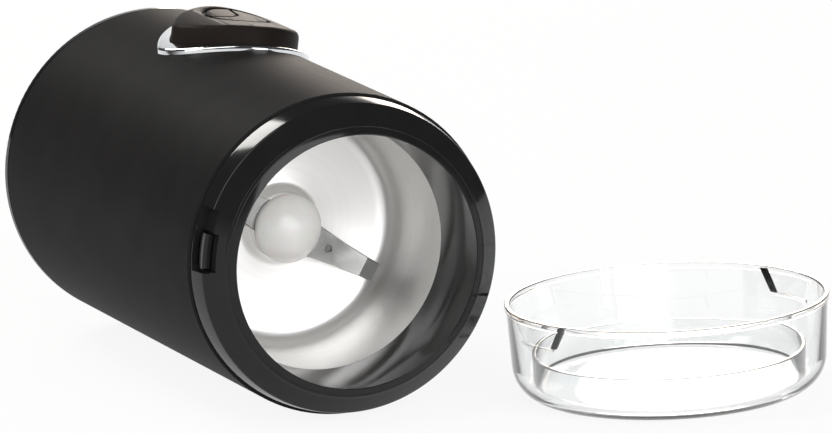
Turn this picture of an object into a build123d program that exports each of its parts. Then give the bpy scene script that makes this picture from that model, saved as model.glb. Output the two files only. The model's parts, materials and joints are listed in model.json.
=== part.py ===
from build123d import *
import math
import os

# Electric coffee grinder. It is drawn standing on its base, with its axis on Z, its base plane at Z 0
# and its button towards +X, and is then laid on its side with the lid upside down beside it.

# Body and base
body_radius = 45.0
body_wall = 2.5
body_height = 149.4
body_edge = 0.5
base_band = 3.0
base_edge = 1.2
base_floor = 2.5
spigot_wall = 2.2
spigot_height = 5.0
foot_radius = 5.5
foot_inset = 12.0
foot_proud = 1.6
foot_sunk = 0.8
foot_count = 4
vent_length = 16.0
vent_width = 2.4
vent_circle = 20.0
vent_count = 8
post_radius = 4.6
post_inset = 4.0
post_height = 22.0
post_count = 3
base_screw_radius = 1.5
base_screw_length = 15.0
base_screw_head = 3.2
base_screw_head_height = 1.0
base_screw_sunk = 1.2
ledge_width = 2.1
ledge_thickness = 2.5

# Clearances
seat_gap = 0.05
slide_gap = 0.3
running_gap = 0.05

# Mouth: rim ring, bowl and gasket
flange_step = 0.7
flange_thickness = 0.9
band_step = 1.0
band_top = 6.9
cone_width = 2.2
cone_top = 11.6
lip_width = 1.9
ring_width = 7.9
mouth_top = 13.4
band_round = 1.0
lip_round = 0.4
sleeve_draft = 0.5
sleeve_depth = 11.5
sleeve_wall = 2.1
skirt_wall = 2.0
skirt_depth = 8.0
ring_crown = 4.5
pocket_depth = 1.6
pocket_start = 74.0
pocket_end = 98.0
gasket_thickness = 0.8
bowl_inset = 0.7
bowl_draft = 0.6
bowl_depth = 35.3
bowl_corner = 5.5
bowl_sheet = 1.0
bowl_flange = 3.2
boss_foot_radius = 11.2
boss_top_radius = 9.6
boss_rise = 4.0
boss_hole_radius = 4.3

# Inner frame and bearings
frame_wall = 1.8
frame_plate = 3.0
frame_drop = 6.8
frame_air_gap = 0.5
tower_radius = 8.0
tower_top_gap = 0.6
bush_radius = 6.0
bush_length = 8.0
bush_lip = 1.0
bush_lip_radius = 4.6
shaft_radius = 3.5

# Blade and hub
blade_gap = 0.9
blade_thickness = 1.5
blade_wall_gap = 5.5
blade_centre_radius = 8.6
blade_root_width = 9.6
blade_slope_length = 7.5
blade_bend_width = 7.1
blade_tip_length = 3.4
blade_tip_width = 5.4
blade_bend_rise = 0.9
blade_tip_rise = 2.1
blade_hole_radius = 1.2
blade_hole_setback = 4.1
blade_turn = -112.5
stud_radius = 2.5
stud_length = 4.2
hub_radius = 9.7
hub_skirt = 1.7
hub_height = 7.0

# Motor
stack_length = 24.0
leg_length = 18.0
rotor_radius = 14.5
rotor_slots = 12
slot_width = 2.0
slot_depth = 3.0
air_gap = 0.6
winding_inner = 5.0
winding_inset = 2.0
winding_height = 7.0
commutator_radius = 8.0
commutator_length = 10.0
commutator_drop = 11.0
commutator_cut = 0.6
fan_radius = 19.5
fan_height = 6.0
fan_clearance = 2.0
fan_disc = 1.2
fan_hub_radius = 7.0
fan_blade = 1.2
fan_blades = 9
yoke_wall = 5.0
yoke_gap = 2.6
pole_width = 12.0
shoe_thickness = 2.3
shoe_half_angle = 50.0
pole_angle = 90.0
coil_overhang = 5.0
coil_width = 19.0
coil_gap = 0.4
coil_depth = 2.6
motor_screw_radius = 1.9
motor_screw_head = 3.6
motor_screw_head_height = 3.0
motor_screw_angle = 45.0
leg_radius = 3.4
bracket_drop = 4.0
bracket_plate = 3.0
bracket_margin = 2.0
bracket_boss_radius = 9.0
bracket_boss_depth = 7.0
shaft_end = 1.5
brush_width = 5.8
brush_thickness = 4.8
brush_length = 10.8
brush_gap = 0.15
holder_wall = 1.5
holder_gap = 1.6
holder_length = 17.4
brush_spring_radius = 1.9
brush_spring_wire = 0.7

# Button, bezel and power switch
button_drop = 95.0
button_half_width = 18.6
button_half_length = 21.4
button_top_half_width = 17.7
button_top_half_length = 19.0
button_rise = 6.1
button_edge = 2.2
button_wall = 2.2
button_roof = 5.0
button_flange = 1.6
button_flange_depth = 10.5
button_flange_thickness = 1.7
button_travel = 2.5
bezel_width = 3.4
bezel_rise = 1.4
bezel_edge = 0.8
bezel_skirt = 1.3
bezel_skirt_depth = 6.0
oval_power = 1.6
oval_points = 24
switch_depth = 17.0
switch_thickness = 5.0
switch_half_width = 5.0
switch_length = 19.0
switch_pin_radius = 1.2
switch_pin_rise = 0.7
lever_pivot_rise = 1.6
lever_pivot_above = 2.4
lever_pin_radius = 0.7
lever_length = 13.0
lever_sheet = 0.6
lever_half_width = 2.4
ear_thickness = 1.2
ear_reach = 1.6
push_post_radius = 2.0
lever_arm = 10.6
switch_plate = 2.0
switch_foot = 8.0
switch_plate_half_width = 8.0
shelf_gap = 0.6
shelf_web = 3.0
shelf_length = 18.4
shelf_step = 0.8
shelf_sheet = 1.5
shelf_half_width = 6.0
spring_offset = 1.6
spring_outer = 4.2
spring_inner = 3.2
spring_depth = 3.0
spring_pin_length = 4.0

# Interlock tab, its spring and switch
tab_angle = 90.0
tab_half_angle = 6.5
tab_setback = 2.6
tab_thickness = 2.6
tab_travel = 2.0
tab_rest_gap = 0.3
tab_slot_play = 1.0
stem_thickness = 1.3
stem_half_width = 3.6
stem_drop = 20.0
stem_foot = 10.0
stem_foot_thickness = 2.0
tab_spring_length = 10.0
tab_spring_radius = 0.9
tab_spring_bore = 0.4
pad_gap = 2.1
pad_below = 3.0
pad_reach = 11.4
pad_margin = 1.0
shelf_depth = 2.0
latch_switch_start = 5.4
latch_switch_end = 10.8
latch_switch_drop = 6.4
latch_switch_length = 14.0
latch_switch_depth = 2.2
latch_plunger = 3.4
latch_plunger_radius = 0.7

# Pieces on the base cover, and the cord inlet
terminal_size = (16.0, 14.0, 9.5)
terminal_inset = (12.5, 16.5)
capacitor_size = (18.0, 10.0, 11.5)
capacitor_inset = 12.5
capacitor_aside = 13.0
inlet_height = 16.0
inlet_radius = 5.8
inlet_bore = 3.2
inlet_flange = 7.4
inlet_proud = 1.1
inlet_depth = 5.0

# Lid, standing upside down
lid_lip = 1.3
lid_height = 27.0
lid_taper = 2.0
lid_corner = 10.0
lid_floor = 2.2
lid_bead_height = 1.6
lid_bead_proud = 0.5
lid_lead = 0.15
lid_play = 0.25
lid_seat_depth = 7.6
lid_inner_step = 2.05
lid_inner_corner = 8.0
lid_rim_round = 0.4
rib_inset = 3.1
rib_wall = 1.2
rib_top = 12.3
catch_angle = -69.5
catch_lean = 30.0
catch_width = 1.3
catch_depth = 1.4
catch_low = 20.2
catch_high = 26.7
catch_rib_depth = 1.1
catch_rib_low = 19.2
catch_rib_height = 1.0
catch_rib_sweep = 20.0

# How the grinder lies: its turn about its own axis, and where the lid stands
body_roll = 9.45
lid_advance = 25.1
lid_tuck = 4.0

shell_inner = body_radius - body_wall
foot_circle = body_radius - foot_inset
post_circle = shell_inner - post_inset
flange_radius = body_radius - flange_step
band_radius = flange_radius - band_step
mouth_radius = band_radius - ring_width
cone_radius = mouth_radius + cone_width
bowl_radius = mouth_radius - bowl_inset
blade_radius = bowl_radius - blade_wall_gap
blade_tip_start = blade_radius - blade_tip_length
blade_bend_radius = blade_tip_start - blade_slope_length
blade_hole_circle = blade_bend_radius - blade_hole_setback

bowl_edge_height = body_height - sleeve_depth - gasket_thickness
bowl_floor = bowl_edge_height - bowl_depth
boss_top = bowl_floor + boss_rise
blade_low = boss_top + blade_gap
hub_low = blade_low + blade_thickness
frame_plate_top = bowl_floor - frame_drop
frame_low = frame_plate_top - frame_plate
tower_top = boss_top - bowl_sheet - tower_top_gap
bush_low = frame_low + bush_lip
seal_low = bush_low + bush_length

fan_high = frame_low - fan_clearance
fan_low = fan_high - fan_height
stack_top = frame_low - leg_length
stack_bottom = stack_top - stack_length
commutator_high = stack_bottom - commutator_drop
commutator_low = commutator_high - commutator_length
brush_height = (commutator_low + commutator_high) / 2
bracket_top = commutator_low - bracket_drop
bracket_low = bracket_top - bracket_plate
bracket_boss_low = bracket_low - bracket_boss_depth
shaft_low = bracket_boss_low + shaft_end
stator_bore = rotor_radius + air_gap
winding_outer = rotor_radius - winding_inset
coil_inner = stator_bore + shoe_thickness + coil_gap
coil_outer = coil_inner + coil_depth
yoke_inner = coil_outer + yoke_gap
yoke_outer = yoke_inner + yoke_wall
motor_screw_circle = (yoke_inner + yoke_outer) / 2
bracket_radius = yoke_outer + bracket_margin
holder_start = commutator_radius + holder_gap
holder_end = holder_start + holder_length

button_height = body_height - button_drop
button_flange_low = body_radius - button_flange_depth
bezel_skirt_low = body_radius - bezel_skirt_depth
switch_face = body_radius - switch_depth
switch_back = switch_face - switch_thickness
switch_high = bracket_top + switch_length
lever_pivot = switch_face + lever_pivot_rise
lever_pivot_height = bracket_top + lever_pivot_above
push_post_height = lever_pivot_height + lever_arm
lever_lean = button_travel * lever_length / lever_arm
shelf_low = switch_high + shelf_gap
shelf_high = shelf_low + shelf_length
shelf_rise = switch_face + shelf_step
spring_height = button_height + spring_offset
spring_top = body_radius - spring_depth

tab_inner = band_radius - tab_setback
tab_low = flange_thickness + tab_travel + tab_rest_gap
tab_high = tab_low + tab_thickness
stem_low = body_height - stem_drop
pad_face = tab_inner - pad_gap
latch_switch_face = pad_face + latch_switch_depth
latch_switch_high = stem_low - latch_switch_drop
latch_switch_low = latch_switch_high - latch_switch_length
pad_low = latch_switch_low - pad_below

lid_seat_radius = band_radius + lid_play
lid_mouth_radius = lid_seat_radius + lid_lead
lid_radius = lid_mouth_radius + lid_lip
lid_foot_radius = lid_radius - lid_taper
lid_inner_radius = lid_seat_radius - lid_inner_step
rib_outer = lid_inner_radius - rib_inset
catch_inner = lid_mouth_radius - catch_depth
catch_rib_inner = lid_mouth_radius - catch_rib_depth
lid_ahead = body_height + lid_advance
lid_aside = body_radius + lid_radius - lid_tuck

post_turn = 180.0 / post_count
foot_turn = 180.0 / foot_count
vent_turn = 180.0 / vent_count
beyond = 2 * body_height
terminal_place = (terminal_inset[0] - shell_inner, terminal_inset[1] - shell_inner)
capacitor_place = (capacitor_inset - shell_inner, capacitor_aside)


def turned(points, rounds={}):
    face = make_face(Polyline(*points, close=True))
    for corner, radius in rounds.items():
        place = Vector(*corner, 0)
        face = fillet(face.vertices().sort_by_distance(place)[0], radius)
    return revolve(Plane.XZ * face, Axis.Z)


def tube(outer, inner, low, high):
    return turned([(inner, low), (outer, low), (outer, high), (inner, high)])


def rod(radius, low, high, x=0.0, y=0.0):
    upright = Cylinder(radius, high - low, align=(Align.CENTER, Align.CENTER, Align.MIN))
    return Pos(x, y, low) * upright


def rod_along_x(radius, low, high, y, z):
    upright = Cylinder(radius, high - low, align=(Align.CENTER, Align.CENTER, Align.MIN))
    return Pos(low, y, z) * Rot(0, 90, 0) * upright


def rod_along_y(radius, low, high, x, z):
    upright = Cylinder(radius, high - low, align=(Align.CENTER, Align.CENTER, Align.MIN))
    return Pos(x, low, z) * Rot(-90, 0, 0) * upright


def slab(x, y, z):
    size = (x[1] - x[0], y[1] - y[0], z[1] - z[0])
    return Pos(x[0], y[0], z[0]) * Box(*size, align=(Align.MIN, Align.MIN, Align.MIN))


def sector(outer, inner, low, high, start, end):
    face = make_face(Polyline((inner, low), (outer, low), (outer, high), (inner, high), close=True))
    return Rot(0, 0, start) * revolve(Plane.XZ * face, Axis.Z, end - start)


def around(shape, count, start=0.0):
    return [Rot(0, 0, start + step * 360.0 / count) * shape for step in range(count)]


def on_circle(radius, angle):
    turn = math.radians(angle)
    return radius * math.cos(turn), radius * math.sin(turn)


def oval(half_width, half_length):
    points = []
    for step in range(oval_points):
        turn = 2.0 * math.pi * step / oval_points
        across = math.cos(turn)
        along = math.sin(turn)
        y = math.copysign(half_width * abs(across) ** (2.0 / oval_power), across)
        z = math.copysign(half_length * abs(along) ** (2.0 / oval_power), along)
        points.append((y, button_height + z))
    return make_face(Spline(*points, periodic=True))


def oval_prism(half_width, half_length, low, high):
    return extrude(Plane.YZ.offset(low) * oval(half_width, half_length), high - low)


def button_oval_prism(margin, low, high):
    return oval_prism(button_half_width + margin, button_half_length + margin, low, high)


def make_body_shell():
    shell = tube(body_radius, shell_inner, base_band, body_height)
    outer_ends = shell.edges().filter_by(GeomType.CIRCLE).group_by(SortBy.RADIUS)[-1]
    shell = chamfer(outer_ends, body_edge)
    shell += tube(shell_inner + seat_gap, shell_inner - ledge_width, frame_low - ledge_thickness, frame_low)
    post = rod(post_radius, base_band, post_height, post_circle)
    post &= rod(body_radius - seat_gap, base_band, post_height)
    screw_end = base_screw_length + base_screw_sunk + seat_gap
    post -= rod(base_screw_radius + seat_gap, base_band, screw_end, post_circle)
    for piece in around(post, post_count, post_turn):
        shell += piece
    shell -= button_oval_prism(slide_gap + bezel_skirt + seat_gap, bezel_skirt_low - bezel_skirt, beyond)
    shell -= rod_along_y(inlet_radius + seat_gap, -beyond, -shell_inner + body_wall, 0.0, inlet_height)
    return shell


def make_base_cover():
    cover = rod(body_radius, 0.0, base_band)
    cover = fillet(cover.edges().group_by(Axis.Z)[0], base_edge)
    spigot_radius = shell_inner - slide_gap
    cover += tube(spigot_radius, spigot_radius - spigot_wall, base_band, base_band + spigot_height)
    cover -= rod(spigot_radius - spigot_wall, base_floor, base_band)
    post_clearance = rod(post_radius + slide_gap, base_band, base_band + spigot_height, post_circle)
    for piece in around(post_clearance, post_count, post_turn):
        cover -= piece
    foot_pocket = rod(foot_radius + seat_gap, 0.0, foot_sunk, foot_circle)
    for piece in around(foot_pocket, foot_count, foot_turn):
        cover -= piece
    screw_hole = rod(base_screw_radius + seat_gap, 0.0, base_band, post_circle)
    screw_hole += rod(base_screw_head + slide_gap, 0.0, base_screw_sunk, post_circle)
    for piece in around(screw_hole, post_count, post_turn):
        cover -= piece
    vent_reach = (vent_circle - vent_length / 2, vent_circle + vent_length / 2)
    vent = slab(vent_reach, (-vent_width / 2, vent_width / 2), (0.0, base_floor))
    for piece in around(vent, vent_count, vent_turn):
        cover -= piece
    return cover


def make_base_feet():
    foot = rod(foot_radius, -foot_proud, foot_sunk, foot_circle)
    return around(foot, foot_count, foot_turn)


def make_base_screws():
    head_low = base_screw_sunk - base_screw_head_height
    screw = rod(base_screw_head, head_low, base_screw_sunk, post_circle)
    screw += rod(base_screw_radius, base_screw_sunk, base_screw_sunk + base_screw_length, post_circle)
    return around(screw, post_count, post_turn)


def make_cord_inlet():
    outer = body_radius + inlet_proud
    band = tube(outer, body_radius + seat_gap, inlet_height - inlet_flange, inlet_height + inlet_flange)
    inlet = band & rod_along_y(inlet_flange, -beyond, 0.0, 0.0, inlet_height)
    stem = rod_along_y(inlet_radius, -beyond, inlet_depth - body_radius, 0.0, inlet_height)
    inlet += stem & rod(outer, 0.0, body_height)
    inlet -= rod_along_y(inlet_bore, -beyond, 0.0, 0.0, inlet_height)
    return inlet


def make_rim_ring():
    skirt_radius = shell_inner - slide_gap
    sleeve_radius = mouth_radius - sleeve_draft
    sleeve_outer = sleeve_radius + sleeve_wall
    lip_radius = mouth_radius + lip_width / 2
    profile = [
        (skirt_radius, -skirt_depth),
        (skirt_radius, 0.0),
        (flange_radius, 0.0),
        (flange_radius, flange_thickness),
        (band_radius, flange_thickness),
        (band_radius, band_top),
        (cone_radius, cone_top),
        (lip_radius, mouth_top),
        (mouth_radius, mouth_top),
        (sleeve_radius, -sleeve_depth),
        (sleeve_outer, -sleeve_depth),
        (sleeve_outer, ring_crown),
        (skirt_radius - skirt_wall, ring_crown - skirt_wall),
        (skirt_radius - skirt_wall, -skirt_depth),
    ]
    rounds = {
        (flange_radius, flange_thickness): lip_round,
        (band_radius, band_top): band_round,
        (cone_radius, cone_top): band_round,
        (lip_radius, mouth_top): lip_round,
        (mouth_radius, mouth_top): lip_round,
    }
    ring = Pos(0, 0, body_height) * turned(profile, rounds)
    pocket_low = body_height + flange_thickness
    pocket = sector(beyond, band_radius - pocket_depth, pocket_low, beyond, pocket_start, pocket_end)
    for piece in around(pocket, 2):
        ring -= piece
    start = tab_angle - tab_half_angle - tab_slot_play
    end = tab_angle + tab_half_angle + tab_slot_play
    slot = sector(skirt_radius + slide_gap / 2, tab_inner - slide_gap, 0.0, pocket_low, start, end)
    slot += sector(beyond, tab_inner - slide_gap, pocket_low, beyond, start, end)
    return ring - slot


def make_grinding_bowl():
    floor_radius = bowl_radius - bowl_draft
    profile = [
        (boss_hole_radius, boss_top),
        (boss_top_radius, boss_top),
        (boss_foot_radius, bowl_floor),
        (floor_radius, bowl_floor),
        (bowl_radius, bowl_edge_height),
        (bowl_radius + bowl_flange, bowl_edge_height),
        (bowl_radius + bowl_flange, bowl_edge_height - bowl_sheet),
        (bowl_radius + bowl_sheet, bowl_edge_height - bowl_sheet),
        (floor_radius + bowl_sheet, bowl_floor - bowl_sheet),
        (boss_foot_radius - bowl_sheet, bowl_floor - bowl_sheet),
        (boss_top_radius - bowl_sheet, boss_top - bowl_sheet),
        (boss_hole_radius, boss_top - bowl_sheet),
    ]
    rounds = {
        (floor_radius, bowl_floor): bowl_corner,
        (floor_radius + bowl_sheet, bowl_floor - bowl_sheet): bowl_corner + bowl_sheet,
        (boss_foot_radius, bowl_floor): bowl_sheet,
        (boss_top_radius, boss_top): bowl_sheet,
    }
    return turned(profile, rounds)


def make_bowl_gasket():
    return tube(bowl_radius + bowl_flange, bowl_radius, bowl_edge_height, bowl_edge_height + gasket_thickness)


def make_inner_frame():
    plate_radius = shell_inner - slide_gap
    wall_inner = bowl_radius + bowl_sheet + frame_air_gap
    wall_outer = wall_inner + frame_wall
    frame = rod(plate_radius, frame_low, frame_plate_top)
    frame += tube(wall_outer, wall_inner, frame_plate_top, bowl_edge_height - bowl_sheet)
    frame += rod(tower_radius, frame_plate_top, tower_top)
    pad = slab((-stem_half_width - pad_margin, pad_reach), (0.0, pad_face), (pad_low, latch_switch_high))
    frame += pad - rod(wall_inner, 0.0, body_height)
    spring_shelf = slab((-stem_half_width, stem_half_width), (0.0, tab_inner + stem_thickness),
                        (stem_low - tab_spring_length - shelf_depth, stem_low - tab_spring_length))
    frame += spring_shelf - rod(wall_inner, 0.0, body_height)
    x, y = on_circle(motor_screw_circle, motor_screw_angle)
    for side in (1, -1):
        frame += rod(leg_radius, stack_top, frame_low, side * x, side * y)
        frame -= rod(motor_screw_radius + seat_gap, stack_top, frame_plate_top, side * x, side * y)
    frame -= rod(bush_lip_radius, frame_low, bush_low)
    frame -= rod(bush_radius + seat_gap, bush_low, tower_top)
    return frame


def make_stator_core():
    stack = (stack_bottom, stack_top)
    core = tube(yoke_outer, yoke_inner, *stack)
    neck = slab((-pole_width / 2, pole_width / 2), (stator_bore, yoke_inner + shoe_thickness), stack)
    shoe = sector(stator_bore + shoe_thickness, stator_bore, *stack,
                  pole_angle - shoe_half_angle, pole_angle + shoe_half_angle)
    for piece in around(neck + shoe, 2):
        core += piece
    core -= rod(stator_bore, *stack)
    x, y = on_circle(motor_screw_circle, motor_screw_angle)
    for side in (1, -1):
        core -= rod(motor_screw_radius + seat_gap, *stack, side * x, side * y)
    return core


def make_field_coils():
    outer = slab((-coil_width / 2, coil_width / 2), (coil_inner, coil_outer),
                 (stack_bottom - coil_overhang, stack_top + coil_overhang))
    window = slab((-pole_width / 2 - slide_gap, pole_width / 2 + slide_gap), (0.0, yoke_outer),
                  (stack_bottom - slide_gap, stack_top + slide_gap))
    return around(outer - window, 2)


def make_lower_bracket():
    bracket = rod(bracket_radius, bracket_low, bracket_top)
    bracket += rod(bracket_boss_radius, bracket_boss_low, bracket_low)
    x, y = on_circle(motor_screw_circle, motor_screw_angle)
    for side in (1, -1):
        bracket += rod(leg_radius, bracket_top, stack_bottom, side * x, side * y)
        bracket -= rod(motor_screw_radius + seat_gap, bracket_low, stack_bottom, side * x, side * y)
    bracket -= rod(bush_radius + seat_gap, bracket_boss_low, bracket_top)
    return bracket


def make_bush(low):
    return tube(bush_radius, shaft_radius + running_gap, low, low + bush_length)


def make_motor_screws():
    x, y = on_circle(motor_screw_circle, motor_screw_angle)
    screws = []
    for side in (1, -1):
        screw = rod(motor_screw_radius, bracket_low, frame_plate_top, side * x, side * y)
        screw += rod(motor_screw_head, bracket_low - motor_screw_head_height, bracket_low, side * x, side * y)
        screws.append(screw)
    return screws


def brush_channel(grow):
    half_width = brush_width / 2 + grow
    half_thickness = brush_thickness / 2 + grow
    return (-half_width, half_width), (brush_height - half_thickness, brush_height + half_thickness)


def make_brush_holders():
    x, z = brush_channel(holder_wall + seat_gap)
    holder = slab(x, (holder_start, holder_end), (bracket_top, z[1]))
    x, z = brush_channel(seat_gap)
    holder -= slab(x, (holder_start, holder_end - holder_wall), z)
    return around(holder, 2)


def make_carbon_brushes():
    x, z = brush_channel(0.0)
    start = commutator_radius + brush_gap
    return around(slab(x, (start, start + brush_length), z), 2)


def make_brush_springs():
    start = commutator_radius + brush_gap + brush_length
    end = holder_end - holder_wall
    spring = rod_along_y(brush_spring_radius, start, end, 0.0, brush_height)
    spring -= rod_along_y(brush_spring_radius - brush_spring_wire, start, end, 0.0, brush_height)
    return around(spring, 2)


def make_motor_shaft():
    shaft = rod(shaft_radius, shaft_low, blade_low)
    return shaft + rod(stud_radius, blade_low, hub_low + stud_length)


def make_armature_core():
    core = tube(rotor_radius, shaft_radius + seat_gap, stack_bottom, stack_top)
    slot = slab((rotor_radius - slot_depth, body_radius), (-slot_width / 2, slot_width / 2),
                (stack_bottom, stack_top))
    for piece in around(slot, rotor_slots):
        core -= piece
    return core


def make_armature_windings():
    lower = tube(winding_outer, winding_inner, stack_bottom - winding_height, stack_bottom)
    upper = tube(winding_outer, winding_inner, stack_top, stack_top + winding_height)
    return [lower, upper]


def make_commutator():
    ring = tube(commutator_radius, shaft_radius + seat_gap, commutator_low, commutator_high)
    cut = slab((commutator_radius - commutator_cut, body_radius), (-commutator_cut / 2, commutator_cut / 2),
               (commutator_low, commutator_high))
    for piece in around(cut, rotor_slots):
        ring -= piece
    return ring


def make_cooling_fan():
    fan = rod(fan_radius, fan_low, fan_low + fan_disc) + rod(fan_hub_radius, fan_low, fan_high)
    blade = slab((fan_hub_radius - fan_blade, fan_radius), (-fan_blade / 2, fan_blade / 2),
                 (fan_low, fan_high))
    blade &= rod(fan_radius, fan_low, fan_high)
    for piece in around(blade, fan_blades):
        fan += piece
    return fan - rod(shaft_radius + seat_gap, fan_low, fan_high)


def make_blade():
    side = make_face(Polyline(
        (0.0, blade_low),
        (blade_bend_radius, blade_low),
        (blade_tip_start, blade_low + blade_bend_rise),
        (blade_radius, blade_low + blade_bend_rise + blade_tip_rise),
        (blade_radius, hub_low + blade_bend_rise + blade_tip_rise),
        (blade_tip_start, hub_low + blade_bend_rise),
        (blade_bend_radius, hub_low),
        (0.0, hub_low),
        close=True,
    ))
    bent = extrude(Plane.XZ * side, blade_root_width, both=True)
    plan = make_face(Polyline(
        (0.0, -blade_root_width / 2),
        (blade_centre_radius, -blade_root_width / 2),
        (blade_bend_radius, -blade_bend_width / 2),
        (blade_radius, -blade_tip_width / 2),
        (blade_radius, blade_tip_width / 2),
        (blade_bend_radius, blade_bend_width / 2),
        (blade_centre_radius, blade_root_width / 2),
        (0.0, blade_root_width / 2),
        close=True,
    ))
    arm = bent & extrude(plan, body_height)
    arm -= rod(blade_hole_radius, blade_low, hub_low, blade_hole_circle)
    blade = rod(blade_centre_radius, blade_low, hub_low)
    for piece in around(arm, 2, blade_turn):
        blade += piece
    return blade - rod(stud_radius + seat_gap, blade_low, hub_low)


def make_blade_hub():
    top = hub_low + hub_height
    outline = Polyline((0.0, top), (0.0, hub_low), (hub_radius, hub_low), (hub_radius, hub_low + hub_skirt))
    rise = hub_height - hub_skirt
    dome_radius = (hub_radius ** 2 + rise ** 2) / (2 * rise)
    half_turn = math.asin(hub_radius / dome_radius) / 2
    crest = (dome_radius * math.sin(half_turn), top - dome_radius * (1 - math.cos(half_turn)))
    dome = ThreePointArc((hub_radius, hub_low + hub_skirt), crest, (0.0, top))
    hub = revolve(Plane.XZ * make_face([outline, dome]), Axis.Z)
    return hub - rod(stud_radius + seat_gap, hub_low, hub_low + stud_length + seat_gap)


def make_button():
    bezel_top = body_radius + bezel_rise
    button_top = body_radius + button_rise
    foot = Plane.YZ.offset(bezel_top) * oval(button_half_width, button_half_length)
    crown = Plane.YZ.offset(button_top) * oval(button_top_half_width, button_top_half_length)
    button = button_oval_prism(0.0, button_flange_low, bezel_top) + loft([foot, crown])
    button &= rod(button_top, 0.0, body_height)
    button = fillet(button.faces().sort_by(Axis.X)[-1].edges(), button_edge)
    button -= button_oval_prism(-button_wall, button_flange_low, button_top - button_roof)
    flange = button_oval_prism(button_flange, button_flange_low, button_flange_low + button_flange_thickness)
    flange -= button_oval_prism(-button_wall, button_flange_low, button_top)
    button += flange
    lever_top = lever_pivot + lever_lean + lever_sheet
    button += rod_along_x(push_post_radius, lever_top, button_top - button_roof, 0.0, push_post_height)
    button += rod_along_x(spring_outer, spring_top, button_top - button_roof, 0.0, spring_height)
    return button


def make_button_bezel():
    outer_margin = slide_gap + bezel_width
    bezel = button_oval_prism(outer_margin, 0.0, beyond)
    bezel &= tube(body_radius + bezel_rise, body_radius + seat_gap, 0.0, body_height)
    bezel = bezel.solids().sort_by(Axis.X)[-1]
    bezel = fillet(bezel.faces().sort_by(Axis.X)[-1].edges(), bezel_edge)
    skirt = button_oval_prism(slide_gap + bezel_skirt, bezel_skirt_low - bezel_skirt, beyond)
    skirt &= tube(body_radius + bezel_rise, bezel_skirt_low, 0.0, body_height)
    return bezel + skirt - button_oval_prism(slide_gap, 0.0, beyond)


def make_power_switch():
    switch_low = bracket_top + seat_gap
    body = slab((switch_back, switch_face), (-switch_half_width, switch_half_width),
                (switch_low, switch_high))
    ear_high = lever_pivot_height + ear_reach
    for side in (1, -1):
        y = side * (lever_half_width + slide_gap + ear_thickness / 2)
        body += slab((switch_face - ear_thickness, lever_pivot + ear_reach),
                     (y - ear_thickness / 2, y + ear_thickness / 2), (switch_low, ear_high))
    pin_hole = lever_pin_radius + running_gap
    body -= rod_along_y(pin_hole, -body_radius, body_radius, lever_pivot, lever_pivot_height)
    body += rod_along_x(switch_pin_radius, switch_face, switch_face + switch_pin_rise, 0.0, push_post_height)
    return body


def make_switch_lever():
    reach = lever_half_width + slide_gap + ear_thickness
    pin = rod_along_y(lever_pin_radius, -reach, reach, lever_pivot, lever_pivot_height)
    lean = math.degrees(math.atan2(lever_lean, lever_length))
    length = math.hypot(lever_lean, lever_length)
    strip = slab((-lever_sheet / 2, lever_sheet / 2), (-lever_half_width, lever_half_width), (0.0, length))
    eye_radius = lever_pin_radius + lever_sheet
    eye = rod_along_y(eye_radius, -lever_half_width, lever_half_width, lever_pivot, lever_pivot_height)
    return pin + eye + Pos(lever_pivot, 0, lever_pivot_height) * Rot(0, lean, 0) * strip


def make_switch_bracket():
    upright_back = switch_back - switch_plate
    width = (-switch_plate_half_width, switch_plate_half_width)
    bracket = slab((upright_back, switch_back), width, (bracket_top, shelf_low + shelf_web))
    bracket += slab((switch_back - switch_foot, switch_back), width,
                    (bracket_top, bracket_top + switch_plate))
    shelf = (-shelf_half_width, shelf_half_width)
    bracket += slab((upright_back, shelf_rise + shelf_sheet), shelf, (shelf_low, shelf_low + shelf_web))
    bracket += slab((shelf_rise, shelf_rise + shelf_sheet), shelf, (shelf_low, shelf_high))
    spring_seat = shelf_rise + shelf_sheet
    pin_end = spring_seat + spring_pin_length
    bracket += rod_along_x(spring_inner - slide_gap, spring_seat, pin_end, 0.0, spring_height)
    return bracket


def make_button_spring():
    low = shelf_rise + shelf_sheet
    spring = rod_along_x(spring_outer, low, spring_top, 0.0, spring_height)
    return spring - rod_along_x(spring_inner, low, spring_top, 0.0, spring_height)


def make_interlock_tab():
    head_outer = band_radius - slide_gap
    tab = sector(head_outer, tab_inner, body_height + tab_low, body_height + tab_high,
                 tab_angle - tab_half_angle, tab_angle + tab_half_angle)
    stem_face = (tab_inner, tab_inner + stem_thickness)
    tab += slab((-stem_half_width, stem_half_width), stem_face, (stem_low, body_height + tab_high))
    foot = slab((0.0, stem_foot), (pad_face + slide_gap, tab_inner + stem_thickness / 2),
                (stem_low, stem_low + stem_foot_thickness))
    tab += foot & rod(shell_inner - slide_gap, stem_low, body_height)
    return tab


def make_interlock_spring():
    y = tab_inner + stem_thickness / 2
    low = stem_low - tab_spring_length
    spring = rod(tab_spring_radius, low, stem_low, 0.0, y)
    return spring - rod(tab_spring_bore, low, stem_low, 0.0, y)


def make_interlock_switch():
    body = slab((latch_switch_start, latch_switch_end), (pad_face, latch_switch_face),
                (latch_switch_low, latch_switch_high))
    x = (latch_switch_start + latch_switch_end) / 2
    y = (pad_face + latch_switch_face) / 2
    return body + rod(latch_plunger_radius, latch_switch_high, latch_switch_high + latch_plunger, x, y)


def make_base_box(size, place):
    x, y = place
    return slab((x, x + size[0]), (y, y + size[1]), (base_floor, base_floor + size[2]))


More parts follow.
